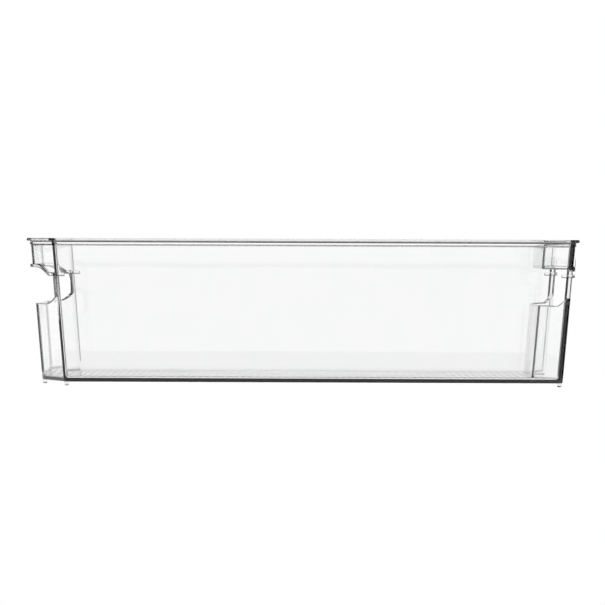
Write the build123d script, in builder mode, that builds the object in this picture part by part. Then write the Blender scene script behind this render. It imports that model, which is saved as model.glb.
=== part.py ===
from build123d import *
import math
import os

os.makedirs("parts", exist_ok=True)

# Clear storage box for a fridge shelf, in millimetres.
# X runs along the box: the end at -X bows outwards and the end at +X is hollowed by the same shape.
# Y runs across it, with the near long wall at -Y. Z is up.
# The origin is the middle of the footprint, on the surface that the feet stand on.

# Heights
foot_height = 2.6
tub_height = 96.0
floor_thickness = 2.5
rim_thickness = 2.0

# Plan of the outer wall faces, taken at the underside of the rim
side_length = 350.2
box_width = 160.0
bow_depth = 17.9
hollow_depth = 17.7
shoulder_run = 35.0
corner_radius = 2.2
bow_shoulder_radius = 24.0
hollow_shoulder_radius = 5.0

# Walls
wall = 2.4
inner_corner_radius = 1.2
end_draft = 4.75
side_draft = 3.0

# Rim
rim_overhang = 2.7
rim_edge_radius = 0.55

# Finger openings, with depths measured down from the top of the rim
opening_top_depth = 19.85
opening_bottom_depth = 44.2
corner_post = 3.6
bow_arch_ledge = 4.0
bow_arch_run = 16.0
bow_arch_drop = 5.55
bow_arch_pull = 0.7
hollow_arch_round = 1.5
sill_rise = 5.6
bow_sill_run = 19.0
bow_sill_pull = 0.5
hollow_sill_run = 12.0
hollow_sill_pull = 0.7

# Beads along the lower edges of the grip bands, and nubs round the corners of the hollowed end
bead_height = 2.4
bead_proud = 1.6
bead_stub = 6.0
nub_run = 9.0

# Floor
floor_edge = 0.5
rib_pitch = 4.8
rib_width = 1.0
rib_height = 0.4
rib_margin = 3.0

# Feet
foot_diameter = 3.2
foot_edge_radius = 0.5
foot_inset = 0.1

# Heights and slopes that follow from them
floor_underside = foot_height
floor_top = floor_underside + floor_thickness
rim_top = foot_height + tub_height
rim_underside = rim_top - rim_thickness
opening_top = rim_top - opening_top_depth
opening_bottom = rim_top - opening_bottom_depth
ledge_height = opening_top - bow_arch_drop
end_slope = math.tan(math.radians(end_draft))
side_slope = math.tan(math.radians(side_draft))

# The corners of the hollowed end are acute, and their rounding draws the tips of the rim in a little.
# The plan is shifted by half the difference, so that the origin stays in the middle of the footprint.
acute_corner = math.atan2(shoulder_run, hollow_depth)
tip_loss = corner_radius * (1 / math.tan(acute_corner / 2) - 1)
plan_shift = (bow_depth + tip_loss) / 2

# A length that passes right through any wall of the box, for cutting shapes
reach = side_length + 2 * bow_depth + 2 * rim_overhang


def drawn_in(height, slope):
    """How far a drafted face has moved in at a height, from where it is under the rim."""
    return (rim_underside - height) * slope


def half_width(height):
    """Outer half width of the box at a height."""
    return box_width / 2 - drawn_in(height, side_slope)


def bow_corner_x(height):
    """Where the long walls end at the bowed end."""
    return plan_shift - side_length / 2 + drawn_in(height, end_slope)


def hollow_corner_x(height):
    """Where the long walls end at the hollowed end."""
    return plan_shift + side_length / 2 - drawn_in(height, end_slope)


def plan_line(height):
    """Outline of the outer wall faces at a height, with sharp corners, drawn flat."""
    corner_y = half_width(height)
    shoulder_y = corner_y - shoulder_run
    bow_x = bow_corner_x(height)
    hollow_x = hollow_corner_x(height)
    with BuildLine() as outline:
        Polyline(
            (bow_x, -corner_y),
            (hollow_x, -corner_y),
            (hollow_x - hollow_depth, -shoulder_y),
            (hollow_x - hollow_depth, shoulder_y),
            (hollow_x, corner_y),
            (bow_x, corner_y),
            (bow_x - bow_depth, shoulder_y),
            (bow_x - bow_depth, -shoulder_y),
            close=True,
        )
    return outline.line


def sharp_plan(height, grow):
    """The outline at a height as a flat face, moved outwards by grow, with sharp corners."""
    with BuildSketch() as outline:
        make_face(plan_line(height).edges())
        if grow:
            offset(amount=grow, kind=Kind.INTERSECTION)
    return outline.sketch


def plan(height, grow, corner_round):
    """The outline at its height, moved outwards by grow, with corners and shoulders rounded."""
    bow_round = bow_shoulder_radius + grow
    hollow_round = hollow_shoulder_radius - grow
    columns = ((3, corner_round), (2, hollow_round), (1, corner_round), (0, bow_round))
    with BuildSketch(Plane.XY.offset(height)) as outline:
        add(sharp_plan(height, grow))
        for column, radius in columns:
            fillet(outline.vertices().group_by(Axis.X)[column], radius)
    return outline.sketch


def outer_plan(height):
    """Outer faces of the walls."""
    return plan(height, 0, corner_radius)


def inner_plan(height):
    """Inner faces of the walls."""
    return plan(height, -wall, inner_corner_radius)


def bead_plan(height):
    """Outer faces of the beads."""
    return plan(height, bead_proud, corner_radius + bead_proud)


def side_strip(height, side):
    """The strip that a long wall and its corner posts fill, beyond the finger openings."""
    inside = half_width(height) - corner_post
    outside = half_width(height) + wall
    with BuildSketch(Plane.XY.offset(height)) as strip:
        with BuildLine():
            Polyline(
                (-reach, side * inside),
                (reach, side * inside),
                (reach, side * outside),
                (-reach, side * outside),
                close=True,
            )
        make_face()
    return strip.sketch


def arch_line(side, ledge, run, drop, pull, lift):
    """Half of a finger opening's upper edge, seen from the end: a ledge at the post, then a rise to the crown."""
    low = opening_top - drop
    high = opening_top
    start = half_width(low) - corner_post - ledge
    with BuildLine() as half:
        Line((side * box_width, low + lift), (side * start, low + lift))
        Bezier(
            (side * start, low + lift),
            (side * (start - pull * run), high + lift),
            (side * (start - run), high + lift),
        )
        Line((side * (start - run), high + lift), (0, high + lift))
    return half.line


def sill_line(side, run, pull):
    """Half of a finger opening's lower edge, seen from the end, turned up at the post."""
    high = opening_bottom + sill_rise
    post_y = half_width(high) - corner_post
    with BuildLine() as half:
        Line((side * box_width, high), (side * post_y, high))
        Bezier(
            (side * post_y, high),
            (side * (post_y - pull * run), opening_bottom),
            (side * (post_y - run), opening_bottom),
        )
        Line((side * (post_y - run), opening_bottom), (0, opening_bottom))
    return half.line


def between(lower, upper):
    """The face between two edge lines of an opening, seen from the end."""
    with BuildSketch() as band:
        with BuildLine():
            for half in lower + upper:
                add(half)
            Line(lower[0] @ 0, upper[0] @ 0)
            Line(lower[1] @ 0, upper[1] @ 0)
        make_face()
    return band.sketch


def level_line(side, height):
    """Half of a level line across the end."""
    with BuildLine() as half:
        Line((side * box_width, height), (0, height))
    return half.line


def both(line, *values):
    """The near and the far half of an edge line."""
    return [line(-1, *values), line(1, *values)]


# Construction shapes: the full outer form, the hollow inside it, and the strips of the long walls
with BuildPart() as outer_form:
    loft(sections=[outer_plan(floor_underside), outer_plan(rim_underside)], ruled=True)

with BuildPart() as inner_form:
    loft(sections=[inner_plan(floor_top), inner_plan(rim_top)], ruled=True)

with BuildPart() as bead_form:
    loft(sections=[bead_plan(opening_bottom), bead_plan(rim_underside)], ruled=True)
    add(outer_form.part, mode=Mode.SUBTRACT)

with BuildPart() as near_strip:
    loft(sections=[side_strip(floor_top, -1), side_strip(rim_underside, -1)], ruled=True)

with BuildPart() as far_strip:
    loft(sections=[side_strip(floor_top, 1), side_strip(rim_underside, 1)], ruled=True)

with BuildPart() as wall_ring:
    loft(sections=[outer_plan(floor_top), outer_plan(rim_underside)], ruled=True)
    add(inner_form.part, mode=Mode.SUBTRACT)

with BuildPart() as end_walls:
    add(wall_ring.part)
    add(near_strip.part, mode=Mode.SUBTRACT)
    add(far_strip.part, mode=Mode.SUBTRACT)


# Floor plate
with BuildPart() as floor_panel:
    loft(
        sections=[
            plan(floor_underside, -floor_edge, corner_radius - floor_edge),
            outer_plan(floor_underside + floor_edge),
            outer_plan(floor_top),
        ],
        ruled=True,
    )
floor_panel.part.label = "floor_panel"
export_step(floor_panel.part, "parts/floor_panel.step")

# Fine ribs across the floor
rib_count = int(reach / rib_pitch)
with BuildPart() as floor_ribs:
    with BuildSketch(Plane.XY.offset(floor_top)):
        with GridLocations(rib_pitch, box_width, rib_count, 1):
            Rectangle(rib_width, box_width)
        add(sharp_plan(floor_top, -wall - rib_margin), mode=Mode.INTERSECT)
    extrude(amount=rib_height)
floor_ribs.part.label = "floor_ribs"
export_step(floor_ribs.part, "parts/floor_ribs.step")

# Long walls, each with the two corner posts beside the finger openings
with BuildPart() as side_wall_near:
    add(wall_ring.part)
    add(near_strip.part, mode=Mode.INTERSECT)
side_wall_near.part.label = "side_wall_near"
export_step(side_wall_near.part, "parts/side_wall_near.step")

with BuildPart() as side_wall_far:
    add(wall_ring.part)
    add(far_strip.part, mode=Mode.INTERSECT)
side_wall_far.part.label = "side_wall_far"
export_step(side_wall_far.part, "parts/side_wall_far.step")

# Lower end walls, up to the sills of the finger openings
floor_line = both(level_line, floor_top)
with BuildPart() as bow_end_wall:
    with BuildSketch(Plane.YZ.offset(-reach)):
        add(between(floor_line, both(sill_line, bow_sill_run, bow_sill_pull)))
    extrude(amount=reach)
    add(end_walls.part, mode=Mode.INTERSECT)
bow_end_wall.part.label = "bow_end_wall"
export_step(bow_end_wall.part, "parts/bow_end_wall.step")

with BuildPart() as hollow_end_wall:
    with BuildSketch(Plane.YZ):
        add(between(floor_line, both(sill_line, hollow_sill_run, hollow_sill_pull)))
    extrude(amount=reach)
    add(end_walls.part, mode=Mode.INTERSECT)
hollow_end_wall.part.label = "hollow_end_wall"
export_step(hollow_end_wall.part, "parts/hollow_end_wall.step")

# Grip bands above the finger openings, the hollowed one with a plain level edge from post to post.
# Each arch is given by its ledge, run, drop and pull.
bow_arch = (bow_arch_ledge, bow_arch_run, bow_arch_drop, bow_arch_pull)
hollow_arch = (0, hollow_arch_round, hollow_arch_round, 0)
rim_line = both(level_line, rim_underside)
with BuildPart() as bow_grip_band:
    with BuildSketch(Plane.YZ.offset(-reach)):
        add(between(both(arch_line, *bow_arch, 0), rim_line))
    extrude(amount=reach)
    add(end_walls.part, mode=Mode.INTERSECT)
bow_grip_band.part.label = "bow_grip_band"
export_step(bow_grip_band.part, "parts/bow_grip_band.step")

with BuildPart() as hollow_grip_band:
    with BuildSketch(Plane.YZ):
        add(between(both(arch_line, *hollow_arch, 0), rim_line))
    extrude(amount=reach)
    add(end_walls.part, mode=Mode.INTERSECT)
hollow_grip_band.part.label = "hollow_grip_band"
export_step(hollow_grip_band.part, "parts/hollow_grip_band.step")

# Bead along the lower edge of the bowed grip band, turned round the corners to end on the long walls
with BuildPart() as bow_grip_bead:
    with BuildSketch(Plane.YZ.offset(-reach)):
        add(between(both(arch_line, *bow_arch, 0), both(arch_line, *bow_arch, bead_height)))
    extrude(amount=reach + bow_corner_x(ledge_height) + bead_stub)
    add(bead_form.part, mode=Mode.INTERSECT)
bow_grip_bead.part.label = "bow_grip_bead"
export_step(bow_grip_bead.part, "parts/bow_grip_bead.step")

# Bead along the lower edge of the hollowed grip band, from post to post
with BuildPart() as hollow_grip_bead:
    with BuildSketch(Plane.YZ):
        add(between(both(arch_line, *hollow_arch, 0), both(arch_line, *hollow_arch, bead_height)))
    extrude(amount=reach)
    add(bead_form.part, mode=Mode.INTERSECT)
    add(near_strip.part, mode=Mode.SUBTRACT)
    add(far_strip.part, mode=Mode.SUBTRACT)
hollow_grip_bead.part.label = "hollow_grip_bead"
export_step(hollow_grip_bead.part, "parts/hollow_grip_bead.step")

# Nubs round the corners of the hollowed end, level with the stubs of the bowed bead
with BuildPart() as nub_ring:
    add(bead_form.part)
    split(bisect_by=Plane.XY.offset(ledge_height), keep=Keep.TOP)
    split(bisect_by=Plane.XY.offset(ledge_height + bead_height), keep=Keep.BOTTOM)
    split(bisect_by=Plane.YZ.offset(hollow_corner_x(ledge_height) - nub_run), keep=Keep.TOP)

with BuildPart() as hollow_nub_near:
    add(nub_ring.part)
    add(near_strip.part, mode=Mode.INTERSECT)
hollow_nub_near.part.label = "hollow_nub_near"
export_step(hollow_nub_near.part, "parts/hollow_nub_near.step")

with BuildPart() as hollow_nub_far:
    add(nub_ring.part)
    add(far_strip.part, mode=Mode.INTERSECT)
hollow_nub_far.part.label = "hollow_nub_far"
export_step(hollow_nub_far.part, "parts/hollow_nub_far.step")

# Rim flange
with BuildPart() as rim_flange:
    with BuildSketch(Plane.XY.offset(rim_underside)):
        add(outer_plan(rim_underside))
        offset(amount=rim_overhang, kind=Kind.ARC)
    extrude(amount=rim_thickness)
    fillet(rim_flange.edges().filter_by(Plane.XY), rim_edge_radius)
    add(inner_form.part, mode=Mode.SUBTRACT)
rim_flange.part.label = "rim_flange"
export_step(rim_flange.part, "parts/rim_flange.step")

# Feet under the four corners and the two shoulders of the bow
foot_margin = floor_edge + foot_inset + foot_diameter / 2
foot_centres = sharp_plan(floor_underside, -foot_margin).vertices()
shoulders = foot_centres.sort_by(Axis.X)[:2].sort_by(Axis.Y)
near_corners = foot_centres.group_by(Axis.Y)[0].sort_by(Axis.X)
far_corners = foot_centres.group_by(Axis.Y)[-1].sort_by(Axis.X)
foot_places = {
    "foot_bow_near": near_corners[0],
    "foot_hollow_near": near_corners[-1],
    "foot_bow_far": far_corners[0],
    "foot_hollow_far": far_corners[-1],
    "foot_shoulder_near": shoulders[0],
    "foot_shoulder_far": shoulders[-1],
}
for foot_name, centre in foot_places.items():
    with BuildPart() as foot:
        with BuildSketch():
            with Locations((centre.X, centre.Y)):
                Circle(foot_diameter / 2)
        extrude(amount=foot_height)
        fillet(foot.faces().sort_by(Axis.Z)[0].edges(), foot_edge_radius)
    foot.part.label = foot_name
    export_step(foot.part, f"parts/{foot_name}.step")
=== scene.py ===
"""A clear storage box for a fridge shelf, dressed as one polished moulding in a bright studio.

Lengths are in millimetres while a piece is shaped, and its mesh is scaled to metres at the end.
X runs along the box, from the end that bows out to the end that is hollowed, and Z is up.
"""

import math

import bmesh
import bpy
from mathutils import Euler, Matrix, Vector


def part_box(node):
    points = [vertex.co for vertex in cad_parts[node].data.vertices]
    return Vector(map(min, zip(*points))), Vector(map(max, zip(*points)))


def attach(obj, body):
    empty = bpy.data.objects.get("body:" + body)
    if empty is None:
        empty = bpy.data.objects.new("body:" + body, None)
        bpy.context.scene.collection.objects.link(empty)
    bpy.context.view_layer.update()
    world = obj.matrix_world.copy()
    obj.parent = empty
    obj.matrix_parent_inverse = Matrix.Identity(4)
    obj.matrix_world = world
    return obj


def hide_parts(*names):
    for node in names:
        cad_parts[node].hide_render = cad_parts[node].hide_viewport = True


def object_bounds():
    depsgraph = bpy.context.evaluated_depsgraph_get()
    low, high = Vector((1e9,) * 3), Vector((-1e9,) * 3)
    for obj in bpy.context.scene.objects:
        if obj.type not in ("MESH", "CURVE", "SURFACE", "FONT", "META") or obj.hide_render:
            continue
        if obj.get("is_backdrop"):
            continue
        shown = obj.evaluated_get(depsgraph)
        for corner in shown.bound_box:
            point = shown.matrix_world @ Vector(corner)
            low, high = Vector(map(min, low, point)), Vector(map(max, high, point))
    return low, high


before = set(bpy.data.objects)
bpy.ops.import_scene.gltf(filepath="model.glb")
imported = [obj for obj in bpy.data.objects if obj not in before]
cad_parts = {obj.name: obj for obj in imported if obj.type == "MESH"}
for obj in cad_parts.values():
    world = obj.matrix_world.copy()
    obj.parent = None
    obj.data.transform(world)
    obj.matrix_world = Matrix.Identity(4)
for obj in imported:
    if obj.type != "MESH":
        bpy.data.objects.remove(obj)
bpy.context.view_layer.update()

MM = 0.001
NEAR = -1
FAR = 1

# Heights, from the frame
rim_low, rim_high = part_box("rim_flange")
floor_low, floor_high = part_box("floor_panel")
rim_top = rim_high.z / MM
rim_underside = rim_low.z / MM
floor_underside = floor_low.z / MM
floor_top = floor_high.z / MM

# Plan of the outer wall faces, taken at the underside of the rim
side_length = 350.2
box_width = 160.0
bow_depth = 17.9
hollow_depth = 17.7
shoulder_run = 35.0
wall = 2.4
rim_overhang = rim_high.y / MM - box_width / 2
end_slope = math.tan(math.radians(4.75))
side_slope = math.tan(math.radians(3.0))

# Roundings of the plan, at the outer faces and at the inner faces
outer_corner = 2.2
outer_bow_shoulder = 24.0
outer_hollow_shoulder = 5.0
inner_bow_corner = 2.2
inner_hollow_corner = 1.2
inner_bow_shoulder = outer_bow_shoulder - wall
inner_hollow_shoulder = outer_hollow_shoulder + wall
least_radius = 0.3
arc_steps = 10

# The middle of the footprint lies at the origin, so the plan is shifted along the box
plan_shift = (rim_low.x + rim_high.x) / 2 / MM + bow_depth / 2
acute_corner = math.atan2(shoulder_run, hollow_depth)
plan_shift += outer_corner * (1 / math.tan(acute_corner / 2) - 1) / 2

# Roundings of the section, and the slight collar under the rim
base_round = 1.1
floor_round = 1.6
rim_round = 0.7
rim_root_round = 0.9
section_steps = 4
collar_drop = 4.45
collar_proud = 0.35
collar_round = 0.3

# Softened edges: the least angle that is rounded, in degrees, and the steps of the rounding
sharp_angle = 40.0
edge_steps = 3

# Finger openings, with the roundings of their edges
opening_top = rim_top - 19.85
opening_bottom = rim_top - 44.2
corner_post = 3.6
sill_rise = 5.6
curve_steps = 10
bow_opening_round = 0.6
hollow_opening_round = 1.1
bow_arch = {"ledge": 4.0, "run": 16.0, "drop": 5.55, "pull": 0.7}
hollow_arch = {"ledge": 0.0, "run": 1.5, "drop": 1.5, "pull": 0.0}
bow_sill = {"run": 19.0, "pull": 0.5}
hollow_sill = {"run": 12.0, "pull": 0.7}
ledge_height = opening_top - bow_arch["drop"]

# Beads along the lower edges of the grip bands, and nubs round the corners of the hollowed end
bead_height = 2.4
bead_proud = 1.6
bead_stub = 6.0
bead_round = 0.6
nub_run = 9.0

# Floor ribs
rib_pitch = 4.8
rib_width = 1.0
rib_height = 0.4
rib_round = 0.3
rib_margin = 3.0

# Feet
foot_radius = 1.6
foot_tip_round = 1.1
foot_steps = 32

# How far a separate piece is let into the moulding that it grows out of
let_in = 0.3

reach = side_length + 2 * bow_depth


def half_width(height):
    """Outer half width of the walls at a height."""
    return box_width / 2 - (rim_underside - height) * side_slope


def bow_corner_x(height):
    """Where the long walls end at the bowed end."""
    return plan_shift - side_length / 2 + (rim_underside - height) * end_slope


def hollow_corner_x(height):
    """Where the long walls end at the hollowed end."""
    return plan_shift + side_length / 2 - (rim_underside - height) * end_slope


def corner_list(height):
    """The corners of the outer wall faces at a height, each with its rounding outside and inside."""
    corner_y = half_width(height)
    shoulder_y = corner_y - shoulder_run
    bow_x = bow_corner_x(height)
    hollow_x = hollow_corner_x(height)
    bow_corner = (outer_corner, inner_bow_corner)
    hollow_corner = (outer_corner, inner_hollow_corner)
    bow_shoulder = (outer_bow_shoulder, inner_bow_shoulder)
    hollow_shoulder = (outer_hollow_shoulder, inner_hollow_shoulder)
    return [
        (Vector((bow_x, -corner_y)), bow_corner),
        (Vector((hollow_x, -corner_y)), hollow_corner),
        (Vector((hollow_x - hollow_depth, -shoulder_y)), hollow_shoulder),
        (Vector((hollow_x - hollow_depth, shoulder_y)), hollow_shoulder),
        (Vector((hollow_x, corner_y)), hollow_corner),
        (Vector((bow_x, corner_y)), bow_corner),
        (Vector((bow_x - bow_depth, shoulder_y)), bow_shoulder),
        (Vector((bow_x - bow_depth, -shoulder_y)), bow_shoulder),
    ]


def outline(height, grow, inside=False, plan_height=None):
    """The wall outline at a height, moved outwards by grow, with each corner turned on an arc.

    Inside takes the roundings of the inner faces, and plan_height the plan of another height.
    """
    corners = corner_list(height if plan_height is None else plan_height)
    points = []
    for i, (corner, roundings) in enumerate(corners):
        arriving = (corner - corners[i - 1][0]).normalized()
        leaving = (corners[(i + 1) % len(corners)][0] - corner).normalized()
        turn = math.atan2(arriving.x * leaving.y - arriving.y * leaving.x, arriving.dot(leaving))
        # The shoulders of the hollow turn the other way, so their arcs shrink as the outline grows
        hand = math.copysign(1, turn)
        start = math.atan2(-arriving.x, arriving.y)
        if hand < 0:
            start += math.pi
        normal_in = Vector((arriving.y, -arriving.x))
        normal_out = Vector((leaving.y, -leaving.x))
        mitre = (normal_in + normal_out) / (1 + normal_in.dot(normal_out))
        radius = roundings[1] + hand * (grow + wall) if inside else roundings[0] + hand * grow
        radius = max(radius, least_radius)
        centre = corner + mitre * (grow - hand * radius)
        for k in range(arc_steps + 1):
            angle = start + turn * k / arc_steps
            spoke = Vector((math.cos(angle), math.sin(angle)))
            points.append((centre + radius * spoke).to_3d() + Vector((0, 0, height)))
    return points


def quarter(centre_out, centre_up, radius, first, last):
    """Points (outwards, up) of a rounding in a section, between two angles in degrees."""
    points = []
    for k in range(section_steps + 1):
        angle = math.radians(first + (last - first) * k / section_steps)
        points.append((centre_out + radius * math.cos(angle), centre_up + radius * math.sin(angle)))
    return points


def loft(bm, sections, closed=False):
    """Joins outlines with the same count of points by walls, from the first to the last."""
    place = bm.verts.layers.int.new("place")
    ring = [bm.verts.new(point) for point in sections[0]]
    for i, vert in enumerate(ring):
        vert[place] = i
    edges = [bm.edges.new((ring[i - 1], ring[i])) for i in range(len(ring))]
    first = edges
    for section in sections[1:] + (sections[:1] if closed else []):
        made = bmesh.ops.extrude_edge_only(bm, edges=edges)["geom"]
        moved = {part for part in made if isinstance(part, bmesh.types.BMVert)}
        lines = [part for part in made if isinstance(part, bmesh.types.BMEdge)]
        edges = [line for line in lines if moved.issuperset(line.verts)]
        for vert in moved:
            vert.co = section[vert[place]]
    if closed:
        bmesh.ops.remove_doubles(bm, verts=bm.verts[:], dist=least_radius / 100)
    else:
        bmesh.ops.contextual_create(bm, geom=first)
        bmesh.ops.contextual_create(bm, geom=edges)
    bmesh.ops.recalc_face_normals(bm, faces=bm.faces[:])


def prism(bm, profile, low_x, high_x):
    """Extrudes a profile of (y, z) points along the box."""
    face = bm.faces.new([bm.verts.new((low_x, y, z)) for y, z in profile])
    made = bmesh.ops.extrude_face_region(bm, geom=[face])["geom"]
    moved = [part for part in made if isinstance(part, bmesh.types.BMVert)]
    bmesh.ops.translate(bm, vec=(high_x - low_x, 0, 0), verts=moved)
    bmesh.ops.recalc_face_normals(bm, faces=bm.faces[:])


def solid(name, build, *arguments, **settings):
    """A new object whose mesh is built in millimetres by a function."""
    bm = bmesh.new()
    build(bm, *arguments, **settings)
    mesh = bpy.data.meshes.new(name)
    bm.to_mesh(mesh)
    bm.free()
    piece = bpy.data.objects.new(name, mesh)
    bpy.context.scene.collection.objects.link(piece)
    return piece


def carve(piece, operation, cutter):
    """Cuts a piece by another solid, which is used up."""
    modifier = piece.modifiers.new("carve", "BOOLEAN")
    modifier.operation = operation
    modifier.solver = "EXACT"
    modifier.object = cutter
    shaped = piece.evaluated_get(bpy.context.evaluated_depsgraph_get())
    mesh = bpy.data.meshes.new_from_object(shaped)
    piece.modifiers.remove(modifier)
    piece.data = mesh
    bpy.data.objects.remove(cutter)


def soften(piece, radius):
    """Rounds every sharp edge of a piece."""
    bm = bmesh.new()
    bm.from_mesh(piece.data)
    bmesh.ops.remove_doubles(bm, verts=bm.verts[:], dist=least_radius / 30)
    edges = [edge for edge in bm.edges if edge.calc_face_angle(0) > math.radians(sharp_angle)]
    bmesh.ops.bevel(
        bm, geom=edges, offset=radius, offset_type="OFFSET", segments=edge_steps, profile=0.5,
        affect="EDGES", clamp_overlap=False, loop_slide=True, material=-1,
    )
    bm.to_mesh(piece.data)
    bm.free()


def present(piece, material, *nodes):
    """Brings a finished piece to metres, and gives it its finish and its place in the frame."""
    bm = bmesh.new()
    bm.from_mesh(piece.data)
    bmesh.ops.scale(bm, vec=(MM, MM, MM), verts=bm.verts[:])
    bm.to_mesh(piece.data)
    bm.free()
    piece.data.shade_smooth()
    piece.data.materials.clear()
    piece.data.materials.append(material)
    weighted = piece.modifiers.new("even_shading", "WEIGHTED_NORMAL")
    weighted.weight = 100
    weighted.keep_sharp = False
    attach(piece, "root")
    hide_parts(*nodes)


class Socket:
    """A node's output, wrapped so that shader maths can be written as an expression."""

    def __init__(self, shader, output):
        self.shader = shader
        self.output = output

    def join(self, operation, first, second):
        return self.shader.node("ShaderNodeMath", {"operation": operation}, {0: first, 1: second})

    def __add__(self, other):
        return self.join("ADD", self, other)

    def __radd__(self, other):
        return self.join("ADD", other, self)

    def __sub__(self, other):
        return self.join("SUBTRACT", self, other)

    def __rsub__(self, other):
        return self.join("SUBTRACT", other, self)

    def __mul__(self, other):
        return self.join("MULTIPLY", self, other)

    def __rmul__(self, other):
        return self.join("MULTIPLY", other, self)

    def __truediv__(self, other):
        return self.join("DIVIDE", self, other)

    def __abs__(self):
        return self.shader.node("ShaderNodeMath", {"operation": "ABSOLUTE"}, {0: self})


class Shader:
    """The node tree of a material or of the world."""

    def __init__(self, owner):
        owner.use_nodes = True
        self.tree = owner.node_tree
        self.tree.nodes.clear()

    def node(self, kind, settings, inputs, output=0):
        """Adds a node with its settings and its inputs, as values or links, and gives one output."""
        made = self.tree.nodes.new(kind)
        for name, value in settings.items():
            setattr(made, name, value)
        for name, value in inputs.items():
            if isinstance(value, Socket):
                self.tree.links.new(value.output, made.inputs[name])
            else:
                made.inputs[name].default_value = value
        return Socket(self, made.outputs[output]) if made.outputs else made

    def split(self, vector):
        """The three parts of a vector."""
        parts = self.node("ShaderNodeSeparateXYZ", {}, {"Vector": vector}).output.node
        return [Socket(self, output) for output in parts.outputs]

    def noise(self, place, scale, detail, roughness):
        """Soft noise over a place."""
        return self.node(
            "ShaderNodeTexNoise", {},
            {"Vector": place, "Scale": scale, "Detail": detail, "Roughness": roughness},
        )

    def mix(self, share, first, second):
        """A colour between two others, which is the second where the share is 1."""
        colour_a, colour_b, colour_out = 6, 7, 2
        return self.node(
            "ShaderNodeMix", {"data_type": "RGBA"},
            {"Factor": share, colour_a: first, colour_b: second}, colour_out,
        )

    def step(self, value, start, end):
        """A smooth rise from 0 at start to 1 at end."""
        return self.node(
            "ShaderNodeMapRange", {"interpolation_type": "SMOOTHSTEP"},
            {"Value": value, "From Min": start, "From Max": end, "To Min": 0.0, "To Max": 1.0},
        )


def clear_plastic():
    """Polished, faintly tinted clear plastic with soft flow waves, hairlines and a trace of handling."""
    wave_height = 0.00012
    hairline_share = 0.004
    polished = 0.012
    handled = 0.03
    clean_tint = (1.0, 1.0, 1.0, 1)
    handled_tint = (0.985, 0.99, 0.992, 1)
    depth_tint = (0.2, 0.215, 0.22, 1)
    depth_density = 28.0
    material = bpy.data.materials.new("clear_plastic")
    shader = Shader(material)
    place = shader.node("ShaderNodeTexCoord", {}, {}, "Object")
    # Long soft waves from the mould, and fine hairlines from wiping
    flow = shader.node("ShaderNodeMapping", {}, {"Vector": place, "Scale": (9.0, 22.0, 16.0)})
    waves = shader.noise(flow, 1.0, 2.0, 0.45)
    wiping = shader.node(
        "ShaderNodeMapping", {}, {"Vector": place, "Rotation": (0.2, 0.3, 0.5), "Scale": (60, 900, 700)},
    )
    hairlines = shader.noise(wiping, 1.0, 3.0, 0.6)
    handling = shader.noise(place, 34.0, 4.0, 0.62)
    relief = waves + hairlines * hairline_share
    bump = shader.node(
        "ShaderNodeBump", {}, {"Height": relief, "Strength": 1.0, "Distance": wave_height},
    )
    # Clouded patches where it is handled, a little duller than the rest
    cloud = shader.node(
        "ShaderNodeMapRange", {},
        {"Value": handling, "From Min": 0.45, "From Max": 0.75, "To Min": 0.0, "To Max": 1.0},
    )
    tint = shader.mix(cloud, clean_tint, handled_tint)
    roughness = polished + cloud * handled
    surface = shader.node(
        "ShaderNodeBsdfPrincipled", {},
        {
            "Base Color": tint, "Roughness": roughness, "IOR": 1.5, "Transmission Weight": 1.0,
            "Normal": bump,
        },
    )
    # The longer the way through the plastic, the darker it looks
    depth = shader.node(
        "ShaderNodeVolumeAbsorption", {}, {"Color": depth_tint, "Density": depth_density},
    )
    shader.node("ShaderNodeOutputMaterial", {}, {"Surface": surface, "Volume": depth})
    return material


def clear_tub():
    """The moulding itself: floor, walls, bands and rim in one section, carried round the plan."""
    sections = []
    for grow, height in quarter(-base_round, floor_underside + base_round, base_round, -90, 0):
        sections.append(outline(height, grow))
    collar_height = rim_top - collar_drop + collar_round
    for grow, height in quarter(collar_proud - collar_round, collar_height, collar_round, -90, 0):
        sections.append(outline(height, grow))
    root = rim_root_round
    for grow, height in quarter(collar_proud + root, rim_underside - root, root, 180, 90):
        sections.append(outline(height, grow, plan_height=rim_underside))
    lip = rim_overhang - rim_round
    for grow, height in quarter(lip, rim_underside + rim_round, rim_round, -90, 0):
        sections.append(outline(height, grow, plan_height=rim_underside))
    for grow, height in quarter(lip, rim_top - rim_round, rim_round, 0, 90):
        sections.append(outline(height, grow, plan_height=rim_underside))
    for grow, height in quarter(rim_round - wall, rim_top - rim_round, rim_round, 90, 180):
        sections.append(outline(height, grow, inside=True))
    for grow, height in quarter(-wall - floor_round, floor_top + floor_round, floor_round, 0, -90):
        sections.append(outline(height, grow, inside=True))
    return solid("clear_tub", loft, sections)


def curve(start, pull, end):
    """Points of a curve from start to end that leaves and arrives towards pull."""
    shares = [k / curve_steps for k in range(curve_steps + 1)]
    return [start * (1 - t) ** 2 + pull * 2 * t * (1 - t) + end * t ** 2 for t in shares]


def arch(ledge, run, drop, pull, lift=0.0):
    """Upper edge of a finger opening as (y, z), from the ledge at the corner post to the crown."""
    low = opening_top - drop
    start = half_width(low) - corner_post - ledge
    low += lift
    high = opening_top + lift
    return curve(Vector((start, low)), Vector((start - pull * run, high)), Vector((start - run, high)))


def sill(run, pull):
    """Lower edge of a finger opening as (y, z), from the middle out to the corner post."""
    high = opening_bottom + sill_rise
    post = half_width(high) - corner_post
    inner = Vector((post - run, opening_bottom))
    return curve(inner, Vector((post - pull * run, opening_bottom)), Vector((post, high)))


def mirrored(half):
    """A half profile with its mirror image, as one closed profile."""
    return [tuple(p) for p in half] + [(-p[0], p[1]) for p in reversed(half)]


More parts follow.
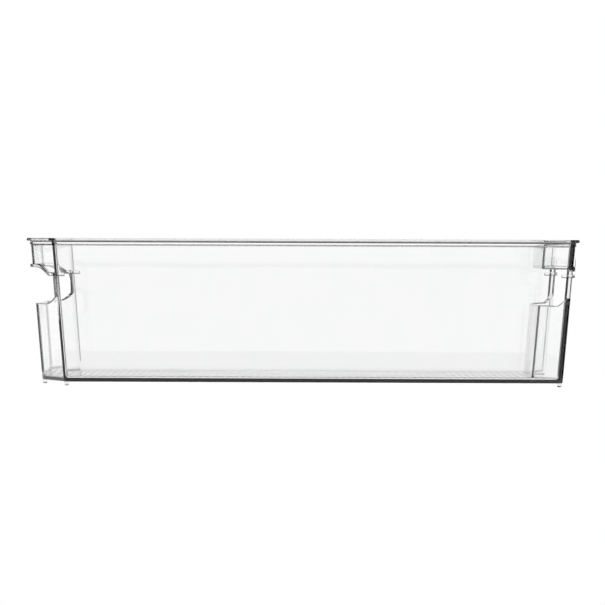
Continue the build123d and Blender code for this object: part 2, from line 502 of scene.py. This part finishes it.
def opening_cutter(lower, upper, low_x, high_x):
    """The solid that a finger opening takes out of an end."""
    ledge = opening_top - upper["drop"]
    post = Vector((half_width(ledge) - corner_post, ledge))
    return solid("cutter", prism, mirrored(sill(**lower) + [post] + arch(**upper)), low_x, high_x)


def bead_ring(name):
    """A thick skin round the whole box, from which the beads and nubs are cut."""
    ring = [
        outline(opening_bottom, bead_proud),
        outline(rim_underside - bead_height, bead_proud),
        outline(rim_underside - bead_height, -let_in),
        outline(opening_bottom, -let_in),
    ]
    return solid(name, loft, ring, closed=True)


def grip_bead(name, shape, low_x, high_x):
    """A bead on the outside of a grip band, along its lower edge."""
    bead = bead_ring(name)
    low = opening_top - shape["drop"]
    lower = [Vector((box_width, low))] + arch(**shape)
    upper = [Vector((box_width, low + bead_height))] + arch(**shape, lift=bead_height)
    profile = mirrored(lower) + mirrored(upper)[::-1]
    carve(bead, "INTERSECT", solid("cutter", prism, profile, low_x, high_x))
    return bead


def corner_strip(side, low_x, high_x):
    """The strip that a long wall and its corner posts fill, beyond the finger openings."""
    inner = [(side * (half_width(z) - corner_post), z) for z in (0, rim_top)]
    outer = [(side * box_width, z) for z in (rim_top, 0)]
    return solid("cutter", prism, inner + outer, low_x, high_x)


def corner_nub(name, side):
    """A short nub wrapped round an acute corner, level with the ends of the bowed bead."""
    nub = bead_ring(name)
    low = ledge_height
    high = ledge_height + bead_height
    slab = [(-box_width, low), (box_width, low), (box_width, high), (-box_width, high)]
    carve(nub, "INTERSECT", solid("cutter", prism, slab, hollow_corner_x(low) - nub_run, reach))
    carve(nub, "INTERSECT", corner_strip(side, 0, reach))
    return nub


def foot(bm, centre):
    """A round peg with a softened tip, let into the floor plate at its top."""
    top = floor_underside + let_in
    tip = quarter(foot_radius - foot_tip_round, foot_tip_round, foot_tip_round, -90, 0)
    profile = [(0.0, 0.0)] + tip + [(foot_radius, top), (0.0, top)]
    verts = [bm.verts.new((centre.x + r, centre.y, z)) for r, z in profile]
    edges = [bm.edges.new(pair) for pair in zip(verts, verts[1:])]
    bmesh.ops.spin(
        bm, geom=edges, cent=(centre.x, centre.y, 0), axis=(0, 0, 1),
        angle=math.tau, steps=foot_steps, use_merge=True,
    )
    bmesh.ops.remove_doubles(bm, verts=bm.verts[:], dist=least_radius / 30)
    bmesh.ops.recalc_face_normals(bm, faces=bm.faces[:])


def rib_spans(x):
    """The stretches (low y, high y) of the floor that a rib at x may cross."""
    corners = [corner for corner, roundings in corner_list(floor_top)]
    margin = wall + rib_margin
    crossings = []
    for start, end in zip(corners, corners[1:] + corners[:1]):
        along = (end - start).normalized()
        inwards = Vector((-along.y, along.x)) * margin
        crossings.append((start + inwards, along))
    inner = []
    for (a, along_a), (b, along_b) in zip(crossings, crossings[1:] + crossings[:1]):
        cross = along_a.x * along_b.y - along_a.y * along_b.x
        gap = b - a
        share = (gap.x * along_b.y - gap.y * along_b.x) / cross
        inner.append(a + along_a * share)
    hits = []
    for start, end in zip(inner, inner[1:] + inner[:1]):
        if (start.x - x) * (end.x - x) < 0:
            hits.append(start.y + (end.y - start.y) * (x - start.x) / (end.x - start.x))
    hits.sort()
    return list(zip(hits[::2], hits[1::2]))


def floor_ribs(bm):
    """Fine low ribs across the floor, each with a rounded back."""
    count = int(reach / rib_pitch)
    for i in range(count + 1):
        x = (i - count / 2) * rib_pitch
        for low_y, high_y in rib_spans(x):
            made = bmesh.ops.create_cube(bm, size=1.0)["verts"]
            size = (rib_width, high_y - low_y, rib_height + let_in)
            bmesh.ops.scale(bm, vec=size, verts=made)
            middle = (x, (low_y + high_y) / 2, floor_top + (rib_height - let_in) / 2)
            bmesh.ops.translate(bm, vec=middle, verts=made)
    top = [edge for edge in bm.edges if all(vert.co.z > floor_top for vert in edge.verts)]
    bmesh.ops.bevel(
        bm, geom=top, offset=rib_round, offset_type="OFFSET", segments=edge_steps, profile=0.5,
        affect="EDGES", clamp_overlap=True, material=-1,
    )


plastic = clear_plastic()

tub = clear_tub()
carve(tub, "DIFFERENCE", opening_cutter(bow_sill, bow_arch, -reach, 0))
soften(tub, bow_opening_round)
carve(tub, "DIFFERENCE", opening_cutter(hollow_sill, hollow_arch, 0, reach))
soften(tub, hollow_opening_round)
present(
    tub, plastic,
    "floor_panel", "side_wall_near", "side_wall_far", "bow_end_wall", "hollow_end_wall",
    "bow_grip_band", "hollow_grip_band", "rim_flange",
)

bow_bead = grip_bead("clear_bow_grip_bead", bow_arch, -reach, bow_corner_x(ledge_height) + bead_stub)
soften(bow_bead, bead_round)
present(bow_bead, plastic, "bow_grip_bead")

hollow_bead = grip_bead("clear_hollow_grip_bead", hollow_arch, 0, reach)
for side in (NEAR, FAR):
    carve(hollow_bead, "DIFFERENCE", corner_strip(side, 0, reach))
soften(hollow_bead, bead_round)
present(hollow_bead, plastic, "hollow_grip_bead")

for side, node in ((NEAR, "hollow_nub_near"), (FAR, "hollow_nub_far")):
    nub = corner_nub("clear_" + node, side)
    soften(nub, bead_round)
    present(nub, plastic, node)

present(solid("clear_floor_ribs", floor_ribs), plastic, "floor_ribs")

for name in sorted(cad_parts):
    if name.startswith("foot_"):
        low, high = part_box(name)
        peg = solid("clear_" + name, foot, (low + high) / 2 / MM)
        present(peg, plastic, name)


def studio_floor():
    """A pale, evenly lit table under the box, a little dimmer where it is seen through the plastic."""
    half_length = 215.0
    front = -110.0
    back = 633.0
    glow_strength = 0.94
    through_plastic = (0.93, 0.93, 0.93, 1)
    in_the_open = (1, 1, 1, 1)
    bm = bmesh.new()
    bmesh.ops.create_grid(bm, x_segments=1, y_segments=1, size=1.0)
    bmesh.ops.scale(bm, vec=(half_length * MM, (back - front) / 2 * MM, 1), verts=bm.verts[:])
    bmesh.ops.translate(bm, vec=(0, (back + front) / 2 * MM, 0), verts=bm.verts[:])
    mesh = bpy.data.meshes.new("studio_floor")
    bm.to_mesh(mesh)
    bm.free()
    stage = bpy.data.objects.new("studio_floor", mesh)
    bpy.context.scene.collection.objects.link(stage)
    material = bpy.data.materials.new("studio_floor")
    shader = Shader(material)
    seen = shader.node("ShaderNodeLightPath", {}, {}, "Is Camera Ray")
    glow = shader.mix(seen, through_plastic, in_the_open)
    surface = shader.node(
        "ShaderNodeBsdfPrincipled", {},
        {
            "Base Color": (0.3, 0.3, 0.3, 1), "Roughness": 0.8, "Specular IOR Level": 0.0,
            "Emission Color": glow, "Emission Strength": glow_strength,
        },
    )
    shader.node("ShaderNodeOutputMaterial", {}, {"Surface": surface})
    mesh.materials.append(material)
    stage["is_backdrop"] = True


def studio_light():
    """White screens level with the box, dark gaps between them, a bright ground and a soft top light."""
    facing_level = 1.03
    corner_level = 1.22
    end_level = 0.8
    overhead_level = 1.6
    least_level = 0.02
    world = bpy.data.worlds.new("studio")
    bpy.context.scene.world = world
    shader = Shader(world)
    direction = shader.node("ShaderNodeTexCoord", {}, {}, "Generated")
    x, y, z = shader.split(direction)
    # A bearing's share along the box, from 0 past a long side to 1 past an end
    lengthwise = x * x / (x * x + y * y)
    facing = shader.step(lengthwise, 0.095, 0.045)
    corners = shader.step(lengthwise, 0.36, 0.43) * shader.step(lengthwise, 0.86, 0.78)
    ends = shader.step(lengthwise, 0.92, 0.95)
    level = shader.step(abs(z), 0.14, 0.10)
    # The bright ground starts lower past the hollowed end, which darkens the lines of its corners
    hollowed_end = shader.step(x, 0.82, 0.9)
    below = shader.step(z + hollowed_end * 0.12, -0.10, -0.14)
    overhead = shader.step(z, 0.86, 0.93)
    screens = facing * facing_level + corners * corner_level + ends * end_level
    strength = level * screens + below + overhead * overhead_level + least_level
    # The camera itself sees plain white behind the box
    seen = shader.node("ShaderNodeLightPath", {}, {}, "Is Camera Ray")
    strength = seen + (1 - seen) * strength
    background = shader.node("ShaderNodeBackground", {}, {"Color": (1, 1, 1, 1), "Strength": strength})
    shader.node("ShaderNodeOutputWorld", {}, {"Surface": background})


def studio_camera():
    """The photograph's view: level with the rim, square to the near long side."""
    distance = 2224.0
    aim_x = -0.42
    focal_pixels = 3336.0
    frame_pixels = 605.0
    horizon_pixels = 63.5
    yaw_pixels = 2.5
    roll = 0.004
    data = bpy.data.cameras.new("camera")
    data.sensor_width = 36.0
    data.lens = data.sensor_width * focal_pixels / frame_pixels
    camera = bpy.data.objects.new("camera", data)
    camera.location = Vector((aim_x, -box_width / 2 - distance, rim_top)) * MM
    pitch = math.atan(horizon_pixels / focal_pixels)
    yaw = -math.atan(yaw_pixels / focal_pixels)
    turn = Euler((math.radians(90) - pitch, 0, yaw)).to_matrix() @ Euler((0, 0, roll)).to_matrix()
    camera.rotation_euler = turn.to_euler()
    bpy.context.scene.collection.objects.link(camera)
    bpy.context.scene.camera = camera


studio_floor()
studio_light()
studio_camera()
bpy.context.scene.view_settings.view_transform = "Standard"

low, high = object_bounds()
